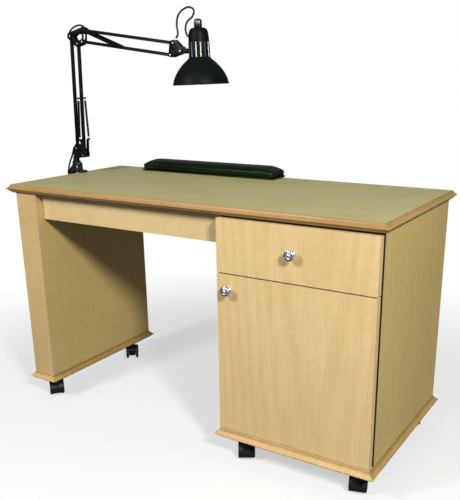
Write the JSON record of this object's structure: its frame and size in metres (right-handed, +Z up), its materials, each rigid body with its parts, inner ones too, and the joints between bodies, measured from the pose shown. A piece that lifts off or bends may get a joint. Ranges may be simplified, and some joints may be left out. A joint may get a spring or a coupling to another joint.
{
  "type": "manicure table",
  "caption": "Maple-laminate manicure table on casters: slab leg, knee space, cabinet with drawer and door, black armrest pad and a clamp-on swing-arm lamp.",
  "frame": {"origin": "the floor, under the middle of the object's footprint, measured without the cord", "axes": "+X along the table to the user's right, +Y away from the user, +Z up"},
  "size_m": [1.442, 0.5996, 1.2961],
  "materials": {
    "maple_front": "satin maple-pattern laminate",
    "maple_side": "satin maple-pattern laminate, in shade",
    "edge_moulding": "satin lacquered hardwood moulding",
    "top_laminate": "matt beige-green laminate",
    "plywood": "raw birch plywood",
    "black_enamel": "gloss black enamel",
    "black_tube": "gloss black enamel on thin tube and sheet",
    "caster_plastic": "satin black nylon",
    "cord_plastic": "black flexible PVC",
    "vinyl": "black grained vinyl",
    "chrome": "polished chrome",
    "switch_plastic": "metallized grey plastic with a ribbed side",
    "zinc_steel": "zinc-plated steel",
    "bulb_glass": "frosted white glass"
  },
  "bodies": {
    "root": {"top_panel": "top_laminate", "top_edge_moulding": "edge_moulding", "leg_front_panel": "maple_front", "leg_back_panel": "maple_front", "leg_outer_panel": "maple_front", "leg_inner_panel": "maple_side", "leg_base": "edge_moulding", "front_apron": "maple_front", "cabinet_left_panel": "maple_side", "cabinet_right_panel": "maple_side", "cabinet_back_panel": "maple_front", "cabinet_base": "edge_moulding", "drawer_left_runner": "zinc_steel", "drawer_right_runner": "zinc_steel", "armrest_pad": "vinyl", "lamp_clamp": "black_enamel", "power_cord": "cord_plastic", "power_cord_coil": "cord_plastic", "power_plug": "cord_plastic"},
    "drawer": {"drawer_front": "maple_front", "drawer_knob": "chrome", "drawer_left_side": "plywood", "drawer_right_side": "plywood", "drawer_back": "plywood", "drawer_bottom": "plywood"},
    "door": {"door_panel": "maple_front", "door_knob": "chrome", "door_upper_hinge_cup": "zinc_steel", "door_lower_hinge_cup": "zinc_steel"},
    "leg_front_caster": {"leg_front_caster_hood": "caster_plastic"},
    "leg_front_caster_wheels": {"leg_front_caster_twin_wheels": "caster_plastic"},
    "leg_back_caster": {"leg_back_caster_hood": "caster_plastic"},
    "leg_back_caster_wheels": {"leg_back_caster_twin_wheels": "caster_plastic"},
    "cabinet_front_left_caster": {"cabinet_front_left_caster_hood": "caster_plastic"},
    "cabinet_front_left_caster_wheels": {"cabinet_front_left_caster_twin_wheels": "caster_plastic"},
    "cabinet_front_right_caster": {"cabinet_front_right_caster_hood": "caster_plastic"},
    "cabinet_front_right_caster_wheels": {"cabinet_front_right_caster_twin_wheels": "caster_plastic"},
    "cabinet_back_left_caster": {"cabinet_back_left_caster_hood": "caster_plastic"},
    "cabinet_back_left_caster_wheels": {"cabinet_back_left_caster_twin_wheels": "caster_plastic"},
    "cabinet_back_right_caster": {"cabinet_back_right_caster_hood": "caster_plastic"},
    "cabinet_back_right_caster_wheels": {"cabinet_back_right_caster_twin_wheels": "caster_plastic"},
    "clamp_screw": {"clamp_screw": "zinc_steel"},
    "swivel_lock": {"swivel_lock_screw": "caster_plastic"},
    "arm_yoke": {"arm_yoke": "black_enamel"},
    "lower_rear_bar": {"lower_rear_bar": "black_tube"},
    "lower_front_bar": {"lower_front_bar": "black_tube", "lower_near_spring": "black_enamel", "lower_far_spring": "black_enamel"},
    "elbow_bracket": {"elbow_bracket": "black_enamel", "elbow_cord": "cord_plastic"},
    "upper_low_bar": {"upper_low_bar": "black_tube", "upper_near_spring": "black_enamel", "upper_far_spring": "black_enamel"},
    "upper_top_bar": {"upper_top_bar": "black_tube"},
    "head_bracket": {"head_bracket": "black_enamel", "head_cord": "cord_plastic"},
    "head_link": {"head_link": "black_enamel"},
    "lamp_head": {"lamp_shade": "black_tube", "lamp_bulb": "bulb_glass"},
    "switch_knob": {"switch_knob": "switch_plastic"}
  },
  "joints": [
    {"name": "drawer_slide", "type": "slide", "parent": "root", "child": "drawer", "axis": [0, -1, 0], "range_m": [0, 0.36]},
    {"name": "door_hinge", "type": "hinge", "parent": "root", "child": "door", "pos_m": [0.663, -0.24945, 0.33815], "axis": [0, 0, 1], "range_deg": [0, 105]},
    {"name": "leg_front_swivel", "type": "hinge", "parent": "root", "child": "leg_front_caster", "pos_m": [-0.5505, -0.22625, 0.0703], "axis": [0, 0, 1], "continuous": true},
    {"name": "leg_front_roll", "type": "hinge", "parent": "leg_front_caster", "child": "leg_front_caster_wheels", "pos_m": [-0.56408, -0.21444, 0.025], "axis": [0.6561, 0.7547, 0], "continuous": true},
    {"name": "leg_back_swivel", "type": "hinge", "parent": "root", "child": "leg_back_caster", "pos_m": [-0.5605, 0.19975, 0.0703], "axis": [0, 0, 1], "continuous": true},
    {"name": "leg_back_roll", "type": "hinge", "parent": "leg_back_caster", "child": "leg_back_caster_wheels", "pos_m": [-0.54869, 0.18616, 0.025], "axis": [-0.7547, -0.6561, 0], "continuous": true},
    {"name": "cabinet_front_left_swivel", "type": "hinge", "parent": "root", "child": "cabinet_front_left_caster", "pos_m": [0.2685, -0.25125, 0.0703], "axis": [0, 0, 1], "continuous": true},
    {"name": "cabinet_front_left_roll", "type": "hinge", "parent": "cabinet_front_left_caster", "child": "cabinet_front_left_caster_wheels", "pos_m": [0.25896, -0.23599, 0.025], "axis": [0.848, 0.5299, 0], "continuous": true},
    {"name": "cabinet_front_right_swivel", "type": "hinge", "parent": "root", "child": "cabinet_front_right_caster", "pos_m": [0.6215, -0.24625, 0.0703], "axis": [0, 0, 1], "continuous": true},
    {"name": "cabinet_front_right_roll", "type": "hinge", "parent": "cabinet_front_right_caster", "child": "cabinet_front_right_caster_wheels", "pos_m": [0.61654, -0.22895, 0.025], "axis": [0.9613, 0.2756, 0], "continuous": true},
    {"name": "cabinet_back_left_swivel", "type": "hinge", "parent": "root", "child": "cabinet_back_left_caster", "pos_m": [0.2625, 0.20675, 0.0703], "axis": [0, 0, 1], "continuous": true},
    {"name": "cabinet_back_left_roll", "type": "hinge", "parent": "cabinet_back_left_caster", "child": "cabinet_back_left_caster_wheels", "pos_m": [0.25461, 0.22293, 0.025], "axis": [0.8988, 0.4384, 0], "continuous": true},
    {"name": "cabinet_back_right_swivel", "type": "hinge", "parent": "root", "child": "cabinet_back_right_caster", "pos_m": [0.6205, 0.20675, 0.0703], "axis": [0, 0, 1], "continuous": true},
    {"name": "cabinet_back_right_roll", "type": "hinge", "parent": "cabinet_back_right_caster", "child": "cabinet_back_right_caster_wheels", "pos_m": [0.61376, 0.22344, 0.025], "axis": [0.9272, 0.3746, 0], "continuous": true},
    {"name": "clamp_screw_feed", "type": "slide", "parent": "root", "child": "clamp_screw", "axis": [0, 0, -1], "range_m": [0, 0.02]},
    {"name": "swivel_lock_turn", "type": "hinge", "parent": "root", "child": "swivel_lock", "pos_m": [-0.6295, 0.05875, 0.785], "axis": [1, 0, 0], "range_deg": [-180, 180]},
    {"name": "arm_swivel", "type": "hinge", "parent": "root", "child": "arm_yoke", "pos_m": [-0.6445, 0.05875, 0.803], "axis": [0, 0, 1], "range_deg": [-90, 90], "deforming": ["power_cord"]},
    {"name": "lower_arm", "type": "hinge", "parent": "arm_yoke", "child": "lower_front_bar", "pos_m": [-0.6015, 0.05875, 0.825], "axis": [0, 1, 0], "range_deg": [-27, 68], "deforming": ["lower_near_spring", "lower_far_spring"]},
    {"name": "lower_arm_rear", "type": "hinge", "parent": "arm_yoke", "child": "lower_rear_bar", "pos_m": [-0.6325, 0.05875, 0.849], "axis": [0, 1, 0], "range_deg": [-27, 68]},
    {"name": "elbow_level", "type": "hinge", "parent": "lower_front_bar", "child": "elbow_bracket", "pos_m": [-0.5875, 0.05875, 1.203], "axis": [0, 1, 0], "range_deg": [-68, 27]},
    {"name": "upper_arm", "type": "hinge", "parent": "elbow_bracket", "child": "upper_top_bar", "pos_m": [-0.5525, 0.05875, 1.243], "axis": [0, 1, 0], "range_deg": [-52, 47], "deforming": ["upper_near_spring", "upper_far_spring", "elbow_cord"]},
    {"name": "upper_arm_low", "type": "hinge", "parent": "elbow_bracket", "child": "upper_low_bar", "pos_m": [-0.5645, 0.05875, 1.208], "axis": [0, 1, 0], "range_deg": [-52, 47]},
    {"name": "head_level", "type": "hinge", "parent": "upper_top_bar", "child": "head_bracket", "pos_m": [-0.1765, 0.05875, 1.1915], "axis": [0, 1, 0], "range_deg": [-47, 52]},
    {"name": "head_tilt", "type": "hinge", "parent": "head_bracket", "child": "head_link", "pos_m": [-0.1495, 0.05875, 1.167], "axis": [0, 1, 0], "range_deg": [-70, 55], "deforming": ["head_cord"]},
    {"name": "head_turn", "type": "hinge", "parent": "head_link", "child": "lamp_head", "pos_m": [-0.1138, 0.05875, 1.167], "axis": [1, 0, 0], "range_deg": [-80, 80]},
    {"name": "switch_turn", "type": "hinge", "parent": "lamp_head", "child": "switch_knob", "pos_m": [-0.08351, 0.05875, 1.23292], "axis": [-0.0314, 0, 0.9995], "continuous": true}
  ],
  "couplings": [
    {"joint": "lower_arm_rear", "follows": "lower_arm", "ratio": 1},
    {"joint": "elbow_level", "follows": "lower_arm", "ratio": -1},
    {"joint": "upper_arm_low", "follows": "upper_arm", "ratio": 1},
    {"joint": "head_level", "follows": "upper_arm", "ratio": -1}
  ]
}
